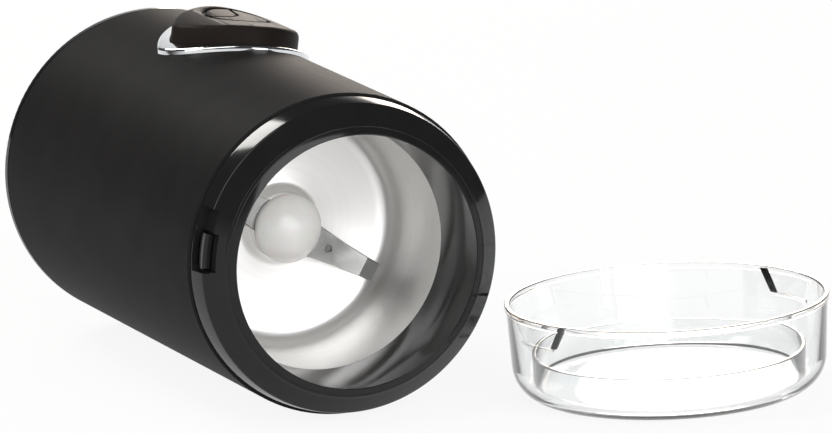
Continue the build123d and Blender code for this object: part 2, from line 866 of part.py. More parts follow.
def make_lid():
    seat_height = lid_height - lid_seat_depth
    bead_low = lid_height - lid_bead_height
    wall_radius = lid_radius - lid_bead_proud
    profile = [
        (0.0, 0.0),
        (lid_foot_radius, 0.0),
        (wall_radius, bead_low),
        (lid_radius, bead_low),
        (lid_radius, lid_height),
        (lid_mouth_radius, lid_height),
        (lid_seat_radius, seat_height),
        (lid_inner_radius, lid_floor),
        (0.0, lid_floor),
    ]
    rounds = {
        (lid_foot_radius, 0.0): lid_corner,
        (lid_inner_radius, lid_floor): lid_inner_corner,
        (lid_radius, lid_height): lid_rim_round,
        (lid_mouth_radius, lid_height): lid_rim_round,
    }
    lid = turned(profile, rounds)
    lid += tube(rib_outer, rib_outer - rib_wall, lid_floor / 2, rib_top)
    middle = (catch_low + catch_high) / 2
    bar = Box(2 * (lid_radius - catch_inner), catch_width, 2 * (catch_high - catch_low))
    bar = Pos(lid_mouth_radius, 0, middle) * Rot(-catch_lean, 0, 0) * bar
    bar &= tube(lid_mouth_radius + lid_rim_round, catch_inner, catch_low, catch_high)
    half_sweep = math.degrees((catch_high - middle) * math.tan(math.radians(catch_lean)) / lid_mouth_radius)
    rib_end = -half_sweep
    rib = sector(lid_mouth_radius, catch_rib_inner, catch_rib_low, catch_rib_low + catch_rib_height,
                 rib_end - catch_rib_sweep, rib_end)
    for piece in around(bar + rib, 2, catch_angle):
        lid += piece
    return lid


row_middle = (lid_ahead + lid_radius - foot_proud) / 2
row_side = (lid_aside + lid_radius - body_radius) / 2
roll = math.radians(body_roll)
lying = Plane(
    origin=(-row_middle, -row_side, body_radius),
    x_dir=(0, math.sin(roll), math.cos(roll)),
    z_dir=(1, 0, 0),
).location
beside = Pos(lid_ahead - row_middle, lid_aside - row_side, 0)

grinder = {
    "body_shell": make_body_shell(),
    "base_cover": make_base_cover(),
    "base_feet": make_base_feet(),
    "base_screws": make_base_screws(),
    "cord_inlet": make_cord_inlet(),
    "rim_ring": make_rim_ring(),
    "grinding_bowl": make_grinding_bowl(),
    "bowl_gasket": make_bowl_gasket(),
    "inner_frame": make_inner_frame(),
    "upper_bearing": make_bush(bush_low),
    "shaft_seal": tube(bush_radius, shaft_radius + running_gap, seal_low, tower_top),
    "stator_core": make_stator_core(),
    "field_coils": make_field_coils(),
    "lower_bracket": make_lower_bracket(),
    "lower_bearing": make_bush(bracket_top - bush_length),
    "motor_screws": make_motor_screws(),
    "brush_holders": make_brush_holders(),
    "carbon_brushes": make_carbon_brushes(),
    "brush_springs": make_brush_springs(),
    "motor_shaft": make_motor_shaft(),
    "armature_core": make_armature_core(),
    "armature_windings": make_armature_windings(),
    "commutator": make_commutator(),
    "cooling_fan": make_cooling_fan(),
    "blade": make_blade(),
    "blade_hub": make_blade_hub(),
    "button": make_button(),
    "button_bezel": make_button_bezel(),
    "button_spring": make_button_spring(),
    "power_switch": make_power_switch(),
    "switch_lever": make_switch_lever(),
    "switch_bracket": make_switch_bracket(),
    "interlock_tab": make_interlock_tab(),
    "interlock_spring": make_interlock_spring(),
    "interlock_switch": make_interlock_switch(),
    "terminal_block": make_base_box(terminal_size, terminal_place),
    "suppressor_capacitor": make_base_box(capacitor_size, capacitor_place),
}

os.makedirs("parts", exist_ok=True)
for name, shape in grinder.items():
    pieces = shape if isinstance(shape, list) else [shape]
    solids = [solid for piece in pieces for solid in (lying * piece).solids()]
    export_step(Compound(solids), f"parts/{name}.step")
export_step(beside * make_lid(), "parts/lid.step")
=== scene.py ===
import json
import math

import bmesh
import bpy
from mathutils import Matrix, Vector


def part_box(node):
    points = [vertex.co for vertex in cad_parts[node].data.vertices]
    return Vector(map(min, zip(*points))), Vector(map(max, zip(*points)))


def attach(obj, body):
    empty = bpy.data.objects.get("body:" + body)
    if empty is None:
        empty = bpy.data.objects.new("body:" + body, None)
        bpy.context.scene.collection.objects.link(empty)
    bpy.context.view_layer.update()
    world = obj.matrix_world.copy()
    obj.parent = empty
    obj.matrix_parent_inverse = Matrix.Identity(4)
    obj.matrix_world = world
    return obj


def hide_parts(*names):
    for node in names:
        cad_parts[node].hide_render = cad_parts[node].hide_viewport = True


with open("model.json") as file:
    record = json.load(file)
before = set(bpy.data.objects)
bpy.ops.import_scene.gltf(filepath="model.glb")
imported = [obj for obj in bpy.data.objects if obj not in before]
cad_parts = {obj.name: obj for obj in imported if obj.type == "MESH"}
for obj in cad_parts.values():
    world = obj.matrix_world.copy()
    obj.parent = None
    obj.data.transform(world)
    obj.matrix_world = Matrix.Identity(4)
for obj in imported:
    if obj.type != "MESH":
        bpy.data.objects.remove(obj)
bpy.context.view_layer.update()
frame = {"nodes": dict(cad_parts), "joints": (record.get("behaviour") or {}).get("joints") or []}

print("frame loaded:", len(frame["nodes"]), "CAD nodes")

mm = 0.001
fullTurn = 360.0
joints = {joint["name"]: joint for joint in frame["joints"]}

# The body is drawn in mm, standing on its base with the button towards +X.
# This matrix lays it down in its place.
outOfButton = -Vector(joints["button_press"]["axis"])
alongBody = Vector(joints["blade_spin"]["axis"])
acrossBody = alongBody.cross(outOfButton)
shaftLow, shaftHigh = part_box("motor_shaft")
basePoint = (shaftLow + shaftHigh) / 2
basePoint.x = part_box("base_cover")[0].x
lying = Matrix((outOfButton, acrossBody, alongBody)).transposed().to_4x4()
lying.translation = basePoint
lying = lying @ Matrix.Scale(mm, 4)

# The lid stands upside down beside it, drawn in mm about its own middle.
lidLow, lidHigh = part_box("lid")
lidMiddle = (lidLow + lidHigh) / 2
lidPlace = Matrix.Translation((lidMiddle.x, lidMiddle.y, lidLow.z)) @ Matrix.Scale(mm, 4)


def linearColour(hexColour):
    channels = [int(hexColour[i:i + 2], 16) / 255 for i in (1, 3, 5)]
    return [c / 12.92 if c <= 0.04045 else ((c + 0.055) / 1.055) ** 2.4 for c in channels] + [1.0]


# Adds one node: settings are its own properties, values fill its sockets with numbers or links.
def addNode(tree, kind, values=None, **settings):
    node = tree.nodes.new(kind)
    for name, value in settings.items():
        setattr(node, name, value)
    for socket, value in (values or {}).items():
        if isinstance(value, bpy.types.NodeSocket):
            tree.links.new(value, node.inputs[socket])
        else:
            node.inputs[socket].default_value = value
    return node


def startMaterial(name, hexColour, **values):
    material = bpy.data.materials.new(name)
    material.use_nodes = True
    shader = material.node_tree.nodes["Principled BSDF"]
    shader.inputs["Base Color"].default_value = linearColour(hexColour)
    for socket, value in values.items():
        shader.inputs[socket.replace("_", " ")].default_value = value
    return material


# Speckle over the surface: grainMm is the size of one grain, and run draws it out along the
# piece's turned Y. Tooth, pores and rolling lines are finer on the real pieces: they are drawn
# as coarse as they need to show.
def grain(material, grainMm, detail=3.0, run=1.0, turn=0.0):
    tree = material.node_tree
    place = addNode(tree, "ShaderNodeTexCoord")
    drawn = addNode(tree, "ShaderNodeMapping", {
        "Vector": place.outputs["Object"], "Rotation": (turn, 0, 0), "Scale": (1, run, 1),
    }, vector_type="TEXTURE")
    noise = addNode(tree, "ShaderNodeTexNoise", {
        "Vector": drawn.outputs["Vector"], "Scale": 1 / (grainMm * mm), "Detail": detail})
    return noise.outputs["Fac"]


# Height and radius of a point on a spun piece, about the body's axis.
def axisPlace(material):
    tree = material.node_tree
    place = addNode(tree, "ShaderNodeTexCoord")
    toAxis = addNode(tree, "ShaderNodeVectorMath", {0: place.outputs["Object"], 1: basePoint},
                     operation="SUBTRACT")
    parts = addNode(tree, "ShaderNodeSeparateXYZ", {0: toAxis.outputs[0]})
    aside = addNode(tree, "ShaderNodeCombineXYZ", {
        "Y": parts.outputs["Y"], "Z": parts.outputs["Z"]})
    radius = addNode(tree, "ShaderNodeVectorMath", {0: aside.outputs[0]}, operation="LENGTH")
    return parts.outputs["X"], radius.outputs["Value"]


# Rings about the body's axis, as turning and polishing leave them.
def spunRings(material, ringMm):
    tree = material.node_tree
    height, radius = axisPlace(material)
    ringPlace = addNode(tree, "ShaderNodeCombineXYZ", {"X": height, "Y": radius})
    noise = addNode(tree, "ShaderNodeTexNoise", {
        "Vector": ringPlace.outputs[0], "Scale": 1 / (ringMm * mm), "Detail": 2.0})
    return noise.outputs["Fac"]


toneStops = (0.3, 0.7)  # where the two tones stand in a pattern's range


# Lets a pattern work on a material: between two tones, between two roughnesses, or as a relief
# of so many mm.
def workIn(material, pattern, tones=None, roughness=None, reliefMm=None, strength=0.3):
    tree = material.node_tree
    shader = tree.nodes["Principled BSDF"]
    if tones:
        ramp = addNode(tree, "ShaderNodeValToRGB", {"Fac": pattern})
        for stop, place, tone in zip(ramp.color_ramp.elements, toneStops, tones):
            stop.position = place
            stop.color = linearColour(tone)
        tree.links.new(ramp.outputs["Color"], shader.inputs["Base Color"])
    if roughness:
        span = addNode(tree, "ShaderNodeMapRange", {
            "Value": pattern, "To Min": roughness[0], "To Max": roughness[1]})
        tree.links.new(span.outputs["Result"], shader.inputs["Roughness"])
    if reliefMm:
        bump = addNode(tree, "ShaderNodeBump", {
            "Height": pattern, "Distance": reliefMm * mm, "Strength": strength})
        tree.links.new(bump.outputs["Normal"], shader.inputs["Normal"])


# Soft-touch lacquer on ABS: a dull, even black with a velvety tooth and a wide soft highlight.
def softTouchLacquer():
    coat = startMaterial("softTouchLacquer", "#201f1f", Roughness=0.5, IOR=1.48,
                         Specular_IOR_Level=0.02)
    workIn(coat, grain(coat, grainMm=14, detail=2.0), tones=("#1e1d1d", "#222121"))
    workIn(coat, grain(coat, grainMm=0.6), roughness=(0.46, 0.56))
    workIn(coat, grain(coat, grainMm=0.35), reliefMm=0.02, strength=0.35)
    return coat


# Polished moulded ABS: deep gloss black, with the faint haze of handling and a slow mould ripple.
def polishedAbs():
    gloss = startMaterial("polishedAbs", "#1a1a1a", Roughness=0.1, IOR=1.54, Specular_IOR_Level=0.2)
    workIn(gloss, grain(gloss, grainMm=9), tones=("#191919", "#1c1c1c"))
    workIn(gloss, grain(gloss, grainMm=5), roughness=(0.07, 0.14))
    workIn(gloss, grain(gloss, grainMm=6, detail=1.0), reliefMm=0.015, strength=0.25)
    return gloss


# Moulded ABS with a satin spark texture: brownish black, even sheen.
def satinAbs():
    satin = startMaterial("satinAbs", "#221e1c", Roughness=0.4, IOR=1.53, Specular_IOR_Level=0.014)
    workIn(satin, grain(satin, grainMm=7), tones=("#201c1a", "#25211f"))
    workIn(satin, grain(satin, grainMm=0.8), roughness=(0.36, 0.45))
    workIn(satin, grain(satin, grainMm=0.4), reliefMm=0.02, strength=0.4)
    return satin


# Bright chrome over plastic: mirror with the least haze.
def chromePlate():
    chrome = startMaterial("chromePlate", "#dcdee0", Metallic=1.0, Roughness=0.06)
    workIn(chrome, grain(chrome, grainMm=4), tones=("#d9dbdd", "#e0e2e4"), roughness=(0.04, 0.09))
    return chrome


# Deep-drawn stainless sheet, pale grey, with rings about the axis only just there: satin on the
# floor, a little brighter on the drawn wall.
def satinStainless():
    sheet = startMaterial("satinStainless", "#eeedeb", Metallic=1.0, Roughness=0.4)
    workIn(sheet, spunRings(sheet, ringMm=1.2), tones=("#ebeae8", "#f0efed"))
    _, radius = axisPlace(sheet)
    floorEnd, wallStart = 27 * mm, 33 * mm
    wall = addNode(sheet.node_tree, "ShaderNodeMapRange", {
        "Value": radius, "From Min": floorEnd, "From Max": wallStart})
    workIn(sheet, wall.outputs["Result"], roughness=(0.43, 0.38))
    workIn(sheet, spunRings(sheet, ringMm=0.5), reliefMm=0.004, strength=0.1)
    return sheet


# Rolled blade stainless: grey, with the rolling grain along the bar.
def bladeStainless(turn):
    bar = startMaterial("bladeStainless", "#9f9f9d", Metallic=1.0, Roughness=0.24)
    workIn(bar, grain(bar, grainMm=4, detail=1.0), tones=("#9b9b99", "#a3a3a1"))
    workIn(bar, grain(bar, grainMm=0.4, detail=2.0, run=8.0, turn=turn),
           roughness=(0.2, 0.29), reliefMm=0.004, strength=0.2)
    return bar


# Opal polypropylene: milky white with light in its depth and a soft gloss.
def opalPolypropylene():
    opal = startMaterial("opalPolypropylene", "#e9e8e4", Roughness=0.22, IOR=1.49,
                         Subsurface_Weight=0.25, Subsurface_Scale=0.003)
    workIn(opal, grain(opal, grainMm=5), tones=("#e6e5e1", "#ebeae7"))
    workIn(opal, grain(opal, grainMm=1.5), roughness=(0.18, 0.25))
    return opal


# Injection-moulded clear SAN: water clear, with flow ripples too slow to blur what stands behind.
def clearSan():
    clear = startMaterial("clearSan", "#fdfefe", Roughness=0.0, IOR=1.57, Transmission_Weight=1.0)
    workIn(clear, grain(clear, grainMm=20, detail=1.0), roughness=(0.0, 0.02))
    workIn(clear, grain(clear, grainMm=25, detail=1.0), reliefMm=0.02, strength=0.25)
    return clear


# Catches: their clear ramps are drawn near black and glossy. This is a painted dark reflection of
# the dark surroundings that their slanted faces mirror.
def catchPaintedReflection():
    paintedDarkReflection = startMaterial("catchPaintedReflection", "#0d0e0f", Roughness=0.12, IOR=1.57, Specular_IOR_Level=0.3)
    workIn(paintedDarkReflection, grain(paintedDarkReflection, grainMm=1), tones=("#0c0d0e", "#121314"), roughness=(0.08, 0.18))
    return paintedDarkReflection


# Moulded rubber: dull black with a fine dusty tooth.
def mouldedRubber():
    tread = startMaterial("mouldedRubber", "#191918", Roughness=0.7, IOR=1.5)
    workIn(tread, grain(tread, grainMm=3), tones=("#171716", "#1e1e1c"))
    workIn(tread, grain(tread, grainMm=0.8), roughness=(0.62, 0.82))
    workIn(tread, grain(tread, grainMm=0.5), reliefMm=0.03, strength=0.4)
    return tread


# Glass-filled nylon: grey, with the faint swirl of its fibres.
def filledNylon():
    moulding = startMaterial("filledNylon", "#8d8f8e", Roughness=0.55, IOR=1.53)
    workIn(moulding, grain(moulding, grainMm=4), tones=("#868887", "#959796"))
    workIn(moulding, grain(moulding, grainMm=0.6), reliefMm=0.02, strength=0.4)
    return moulding


# Bright zinc-plated steel of screws, springs and the ground shaft.
def platedSteel():
    plated = startMaterial("platedSteel", "#b9bbbc", Metallic=1.0, Roughness=0.28)
    workIn(plated, grain(plated, grainMm=1.5), tones=("#adafb0", "#c3c5c6"))
    workIn(plated, grain(plated, grainMm=0.7), roughness=(0.22, 0.38))
    return plated


# Stacked silicon-steel sheet: dark grey, with the edge of every sheet showing along the axis.
def stackedLaminations():
    stack = startMaterial("stackedLaminations", "#6e7072", Metallic=1.0, Roughness=0.45)
    tree = stack.node_tree
    sheetMm = 0.5
    waveRadians = 20  # the wave node's phase over one unit at scale 1
    place = addNode(tree, "ShaderNodeTexCoord")
    sheets = addNode(tree, "ShaderNodeTexWave", {
        "Vector": place.outputs["Object"], "Scale": 2 * math.pi / (waveRadians * sheetMm * mm),
    }, bands_direction="X")
    workIn(stack, sheets.outputs["Fac"], tones=("#5c5e60", "#7c7e80"), reliefMm=0.05, strength=0.5)
    return stack


# Enamelled copper wire and bars: warm, lacquered, with the run of the strands.
def enamelledCopper():
    wire = startMaterial("enamelledCopper", "#b0653a", Metallic=1.0, Roughness=0.3, Coat_Weight=0.4)
    workIn(wire, grain(wire, grainMm=0.7, detail=1.0, run=10.0),
           tones=("#93502c", "#c27548"), reliefMm=0.1, strength=0.6)
    return wire


# Sintered bronze: dull, porous, oil dark.
def sinteredBronze():
    bush = startMaterial("sinteredBronze", "#94713f", Metallic=1.0, Roughness=0.5)
    workIn(bush, grain(bush, grainMm=0.6), tones=("#7f5f33", "#a58048"))
    return bush


# Pressed carbon: soft black with a graphite glint.
def pressedCarbon():
    carbon = startMaterial("pressedCarbon", "#242526", Roughness=0.5, IOR=1.8)
    workIn(carbon, grain(carbon, grainMm=0.5), tones=("#1d1e1f", "#313233"))
    return carbon


# Dipped epoxy of the capacitor: even blue with a slight orange peel.
def dippedEpoxy():
    dip = startMaterial("dippedEpoxy", "#2c5f93", Roughness=0.35, IOR=1.55)
    workIn(dip, grain(dip, grainMm=3), tones=("#28588a", "#31669c"))
    workIn(dip, grain(dip, grainMm=1.2), reliefMm=0.03, strength=0.4)
    return dip


lacquer = softTouchLacquer()
glossBlack = polishedAbs()
rubber = mouldedRubber()
nylon = filledNylon()
steel = platedSteel()
copper = enamelledCopper()
bronze = sinteredBronze()
laminations = stackedLaminations()
clearPlastic = clearSan()

nodeFinish = {
    "body_shell": lacquer,
    "base_cover": glossBlack,
    "interlock_tab": glossBlack,
    "button_bezel": chromePlate(),
    "cord_inlet": rubber,
    "bowl_gasket": rubber,
    "shaft_seal": rubber,
    "inner_frame": nylon,
    "lower_bracket": nylon,
    "brush_holders": nylon,
    "cooling_fan": nylon,
    "power_switch": nylon,
    "switch_bracket": nylon,
    "interlock_switch": nylon,
    "terminal_block": nylon,
    "motor_screws": steel,
    "motor_shaft": steel,
    "brush_springs": steel,
    "button_spring": steel,
    "interlock_spring": steel,
    "switch_lever": steel,
    "stator_core": laminations,
    "armature_core": laminations,
    "field_coils": copper,
    "armature_windings": copper,
    "commutator": copper,
    "upper_bearing": bronze,
    "lower_bearing": bronze,
    "carbon_brushes": pressedCarbon(),
    "suppressor_capacitor": dippedEpoxy(),
}
for nodeName, material in nodeFinish.items():
    mesh = frame["nodes"][nodeName].data
    mesh.materials.clear()
    mesh.materials.append(material)
print("materials:", len(bpy.data.materials))


def roundOff(bm, geom, offset, segments, affect="EDGES", clamp=False):
    bmesh.ops.bevel(bm, geom=geom, offset=offset, offset_type="OFFSET", segments=segments,
                    profile=0.5, affect=affect, material=-1, clamp_overlap=clamp)


cornerSegments = 5
seamGap = 0.0005  # mm, vertices nearer than this are one


# Turns a closed outline of (radius, height, round) points about the axis, rounding its corners
# first.
def lathe(outline, steps, turn=fullTurn):
    bm = bmesh.new()
    corners = [bm.verts.new((radius, 0, height)) for radius, height, _ in outline]
    for corner, following in zip(corners, corners[1:] + corners[:1]):
        if corner.co.x > 0 or following.co.x > 0:
            bm.edges.new((corner, following))
    for corner, (_, _, rounding) in zip(corners, outline):
        if rounding:
            roundOff(bm, [corner], rounding, cornerSegments, affect="VERTICES")
    full = turn == fullTurn
    bmesh.ops.spin(bm, geom=bm.verts[:] + bm.edges[:], cent=(0, 0, 0), axis=(0, 0, 1),
                   dvec=(0, 0, 0), angle=math.radians(turn), steps=steps, use_merge=full,
                   use_normal_flip=False, use_duplicate=False)
    if not full:
        openEnds = [edge for edge in bm.edges if edge.is_boundary]
        bmesh.ops.holes_fill(bm, edges=openEnds, sides=0)
    bmesh.ops.remove_doubles(bm, verts=bm.verts, dist=seamGap)
    bmesh.ops.recalc_face_normals(bm, faces=bm.faces)
    return bm


# Points of an arc in an outline, from one angle to another in degrees.
def arc(centre, radius, start, end, count):
    angles = [math.radians(start + (end - start) * i / count) for i in range(count + 1)]
    return [(centre[0] + radius * math.cos(a), centre[1] + radius * math.sin(a), 0) for a in angles]


def meshObject(name, bm, place):
    bmesh.ops.transform(bm, matrix=place, verts=bm.verts)
    mesh = bpy.data.meshes.new(name)
    bm.to_mesh(mesh)
    bm.free()
    piece = bpy.data.objects.new(name, mesh)
    bpy.context.collection.objects.link(piece)
    return piece


# An object's mesh with its modifiers or its bevel worked in.
def finishedMesh(holder):
    bpy.context.view_layer.update()
    graph = bpy.context.evaluated_depsgraph_get()
    return bpy.data.meshes.new_from_object(holder.evaluated_get(graph))


# Takes the cutters' shapes out of a piece and removes the cutters.
def cutAway(piece, cutters):
    for cutter in cutters:
        cut = piece.modifiers.new("cut", "BOOLEAN")
        cut.operation = "DIFFERENCE"
        cut.solver = "EXACT"
        cut.object = cutter
    cutMesh = finishedMesh(piece)
    piece.modifiers.clear()
    piece.data = cutMesh
    for cutter in cutters:
        bpy.data.objects.remove(cutter)


def fit(piece, material, body, slot, *nodes, smoothAngle=35.0):
    piece.data.materials.clear()
    piece.data.materials.append(material)
    piece.data.shade_smooth()
    piece.data.set_sharp_from_angle(angle=math.radians(smoothAngle))
    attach(piece, body)
    if nodes:
        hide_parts(*nodes)


def turnedBy(angle):
    return Matrix.Rotation(math.radians(angle), 4, "Z")


# Rim ring: glossy collar with the lid's seat, a catch pocket and the interlock tab's slot in it.
# Heights are from the shoulder of the body.
ring = {
    "shoulder": 149.4, "steps": 240, "smoothAngle": 25.0, "edge": 0.45,
    "skirtRadius": 42.2, "skirtDepth": 8.0, "skirtWall": 2.0, "crown": 4.5,
    "flangeRadius": 44.3, "flangeHeight": 0.5, "flangeRound": 0.1,
    "bandRadius": 43.3, "bandTop": 6.9,
    "coneRadius": 37.55, "coneTop": 11.75,
    "bead": 0.22, "beadWidth": 0.8, "beadOuterRound": 0.2, "beadInnerRound": 0.3,
    "lipStep": 0.1, "lipRound": 0.05,
    "mouthRadius": 35.4, "mouthTop": 12.9,
    "sleeveRadius": 34.65, "sleeveDepth": 12.2, "sleeveWall": 2.1, "sleeveRound": 0.2,
    "seatHeight": 0.9, "cutRadius": 60.0, "cutTop": 30.0,
    "pocketRadius": 41.7, "pocketStart": 74.0, "pocketTurn": 24.0, "pocketSteps": 24,
    "slotRadius": 40.4, "slotLowRadius": 42.35,
    "slotStart": 82.5, "slotTurn": 15.0, "slotSteps": 15,
}


def makeRimRing():
    r = ring
    skirtInner = r["skirtRadius"] - r["skirtWall"]
    sleeveOuter = r["sleeveRadius"] + r["sleeveWall"]
    coneSlope = (r["coneTop"] - r["bandTop"]) / (r["bandRadius"] - r["coneRadius"])
    beadOuter = r["coneRadius"] + r["beadWidth"]
    beadFoot = r["coneTop"] - coneSlope * r["beadWidth"]
    outline = [
        (r["skirtRadius"], -r["skirtDepth"], 0),
        (r["skirtRadius"], 0, 0),
        (r["flangeRadius"], 0, r["flangeRound"]),
        (r["flangeRadius"], r["flangeHeight"], r["edge"]),
        (r["bandRadius"], r["bandTop"], r["edge"]),
        (beadOuter, beadFoot, 0),
        (beadOuter, beadFoot + r["bead"], r["beadOuterRound"]),
        (r["coneRadius"], r["coneTop"] + r["bead"], r["beadInnerRound"]),
        (r["coneRadius"] - r["lipStep"], r["coneTop"], r["lipRound"]),
        (r["mouthRadius"], r["mouthTop"], r["edge"]),
        (r["sleeveRadius"], -r["sleeveDepth"], r["sleeveRound"]),
        (sleeveOuter, -r["sleeveDepth"], r["sleeveRound"]),
        (sleeveOuter, r["crown"], 0),
        (skirtInner, r["crown"] - r["skirtWall"], 0),
        (skirtInner, -r["skirtDepth"], 0),
    ]
    upright = lying @ Matrix.Translation((0, 0, r["shoulder"]))
    piece = meshObject("rimRing", lathe(outline, r["steps"]), upright)
    out, top, low = r["cutRadius"], r["cutTop"], r["seatHeight"]
    pocket = lathe([
        (r["pocketRadius"], low, 0), (out, low, 0), (out, top, 0), (r["pocketRadius"], top, 0),
    ], r["pocketSteps"], r["pocketTurn"])
    slot = lathe([
        (r["slotRadius"], 0, 0), (r["slotLowRadius"], 0, 0), (r["slotLowRadius"], low, 0),
        (out, low, 0), (out, top, 0), (r["slotRadius"], top, 0),
    ], r["slotSteps"], r["slotTurn"])
    cutAway(piece, [
        meshObject("pocketCutter", pocket, upright @ turnedBy(r["pocketStart"])),
        meshObject("slotCutter", slot, upright @ turnedBy(r["slotStart"])),
    ])
    fit(piece, glossBlack, "housing", "gloss_black", "rim_ring", smoothAngle=r["smoothAngle"])


makeRimRing()
print("rim ring done")

# Grinding bowl: drawn steel cup with a rolled edge under the ring and a raised boss round the
# shaft.
bowl = {
    "steps": 240, "edgeHeight": 137.1, "floor": 101.8, "radius": 34.7, "floorRadius": 34.1,
    "corner": 5.2, "sheet": 1.0, "flange": 3.2, "edgeRound": 0.3, "underEdgeRound": 0.2,
    "bossFoot": 11.2, "bossTopRadius": 9.6, "bossTop": 105.8, "bossRound": 1.0,
    "underBossRound": 0.5, "hole": 4.3, "holeRound": 0.2,
}


def makeGrindingBowl():
    b = bowl
    underFloor = b["floor"] - b["sheet"]
    underEdge = b["edgeHeight"] - b["sheet"]
    outline = [
        (b["hole"], b["bossTop"], b["holeRound"]),
        (b["bossTopRadius"], b["bossTop"], b["bossRound"]),
        (b["bossFoot"], b["floor"], b["bossRound"]),
        (b["floorRadius"], b["floor"], b["corner"]),
        (b["radius"], b["edgeHeight"], b["edgeRound"]),
        (b["radius"] + b["flange"], b["edgeHeight"], 0),
        (b["radius"] + b["flange"], underEdge, 0),
        (b["radius"] + b["sheet"], underEdge, b["underEdgeRound"]),
        (b["floorRadius"] + b["sheet"], underFloor, b["corner"] + b["sheet"]),
        (b["bossFoot"] - b["sheet"], underFloor, b["underBossRound"]),
        (b["bossTopRadius"] - b["sheet"], b["bossTop"] - b["sheet"], b["underBossRound"]),
        (b["hole"], b["bossTop"] - b["sheet"], 0),
    ]
    piece = meshObject("grindingBowl", lathe(outline, b["steps"]), lying)
    fit(piece, satinStainless(), "housing", "stainless", "grinding_bowl")


makeGrindingBowl()

# Hub cap: milky dome over the blade's nut.
hub = {
    "steps": 128, "smoothAngle": 50.0, "low": 108.2, "radius": 9.7, "skirt": 1.7, "height": 7.0,
    "domeSteps": 20, "edge": 0.3, "hole": 2.55, "holeDepth": 4.25,
}


def makeBladeHub():
    h = hub
    rise = h["height"] - h["skirt"]
    domeRadius = (h["radius"] ** 2 + rise ** 2) / (2 * rise)
    top = h["low"] + h["height"]
    holeTop = h["low"] + h["holeDepth"]
    halfTurn = math.degrees(math.asin(h["radius"] / domeRadius))
    dome = arc((0, top - domeRadius), domeRadius, 90 - halfTurn, 90, h["domeSteps"])
    dome[-1] = (0, top, 0)  # the pole stands exactly on the axis
    outline = [
        (h["hole"], h["low"], 0), (h["radius"], h["low"], h["edge"]), *dome,
        (0, holeTop, 0), (h["hole"], holeTop, 0),
    ]
    piece = meshObject("bladeHub", lathe(outline, h["steps"]), lying)
    opal = opalPolypropylene()
    fit(piece, opal, "rotor", "opal_white", "blade_hub", smoothAngle=h["smoothAngle"])


makeBladeHub()

# Blade: one stainless bar with a bend in each arm, ground leading edges, turned-up tips and a
# punched hole in each arm.
blade = {
    "low": 106.7, "sheet": 1.5, "turn": -112.5, "smoothAngle": 20.0,
    "rootEnd": 8.6, "rootWidth": 9.6, "bend": 18.3, "bendWidth": 7.1, "bendRise": 0.9,
    "tipStart": 25.8, "end": 29.2, "tipWidth": 5.4, "tipRise": 2.1,
    "tipBendRound": 0.7, "tipBendSegments": 4, "tipBendAngle": 10.0,
    "edge": 0.1, "edgeSegments": 2, "edgeAngle": 50.0,
    "groundGap": 1.0, "groundWidth": 0.3, "groundDepth": 0.12,
    "studHole": 2.55, "holeRadius": 1.2, "holeCircle": 14.2, "holeSegments": 48, "drillLength": 6.0,
    "play": 0.01,  # how far off its line a vertex may lie
}


def bladeWidth(reach):
    b = blade
    if reach <= b["rootEnd"]:
        return b["rootWidth"]
    if reach <= b["bend"]:
        share = (reach - b["rootEnd"]) / (b["bend"] - b["rootEnd"])
        return b["rootWidth"] + (b["bendWidth"] - b["rootWidth"]) * share
    share = (reach - b["bend"]) / (b["end"] - b["bend"])
    return b["bendWidth"] + (b["tipWidth"] - b["bendWidth"]) * share


def bladeRise(reach):
    b = blade
    if reach <= b["bend"]:
        return 0
    if reach <= b["tipStart"]:
        return b["bendRise"] * (reach - b["bend"]) / (b["tipStart"] - b["bend"])
    return b["bendRise"] + b["tipRise"] * (reach - b["tipStart"]) / (b["end"] - b["tipStart"])


# Whether an edge lies across the bar where a tip turns up.
def atTipBend(edge):
    return all(abs(abs(vert.co.x) - blade["tipStart"]) < blade["play"] for vert in edge.verts)


